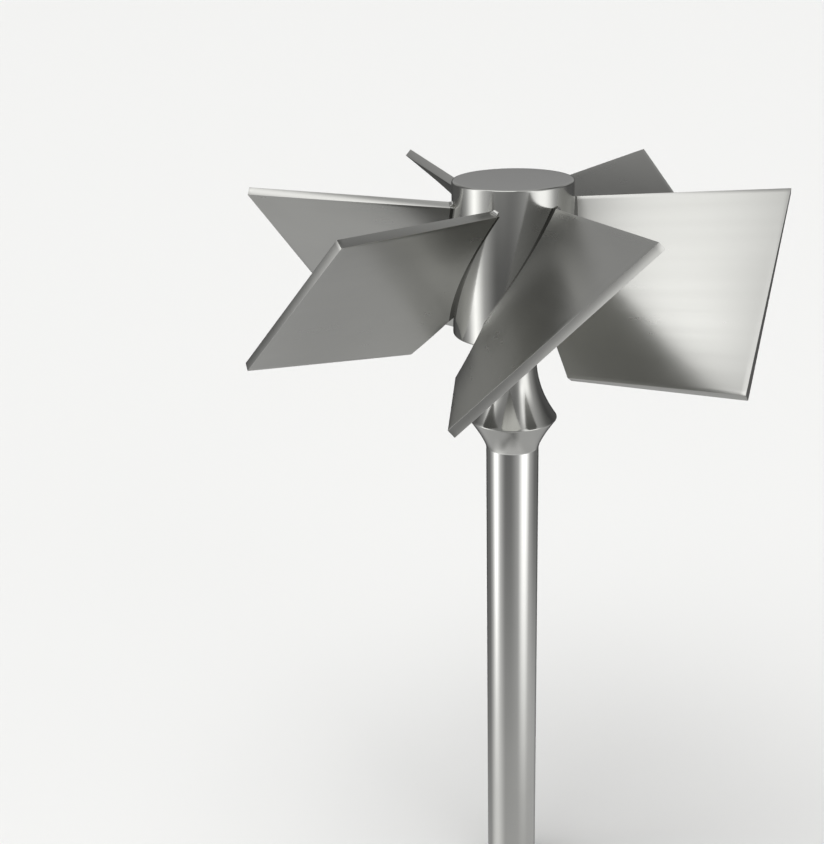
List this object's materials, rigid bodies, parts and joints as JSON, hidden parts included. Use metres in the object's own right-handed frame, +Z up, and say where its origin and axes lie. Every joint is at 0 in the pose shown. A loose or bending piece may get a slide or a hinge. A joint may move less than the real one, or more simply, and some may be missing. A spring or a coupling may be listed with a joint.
{
  "type": "pitched blade impeller",
  "caption": "Impeller with twisted, pitched blades welded round a plain closed hub, on a flared collar and a round drive shaft.",
  "frame": {"origin": "centre of the flat lower end face of the drive shaft", "axes": "+Z up along the shaft towards the hub; the picture is taken from the -Y side"},
  "size_m": [0.4836, 0.4884, 0.74],
  "materials": {
    "shaft_steel": "turned and polished satin stainless steel",
    "collar_steel": "turned satin stainless steel",
    "hub_steel": "turned satin stainless steel",
    "blade_steel": "brushed satin stainless steel plate",
    "weld_steel": "ground and polished weld"
  },
  "bodies": {
    "root": {"shaft": "shaft_steel", "collar": "collar_steel", "hub": "hub_steel", "blade_1": "blade_steel", "blade_2": "blade_steel", "blade_3": "blade_steel", "blade_4": "blade_steel", "blade_5": "blade_steel", "blade_6": "blade_steel", "blade_1_weld_upper": "weld_steel", "blade_2_weld_upper": "weld_steel", "blade_3_weld_upper": "weld_steel", "blade_4_weld_upper": "weld_steel", "blade_5_weld_upper": "weld_steel", "blade_6_weld_upper": "weld_steel", "blade_1_weld_lower": "weld_steel", "blade_2_weld_lower": "weld_steel", "blade_3_weld_lower": "weld_steel", "blade_4_weld_lower": "weld_steel", "blade_5_weld_lower": "weld_steel", "blade_6_weld_lower": "weld_steel"}
  },
  "joints": []
}
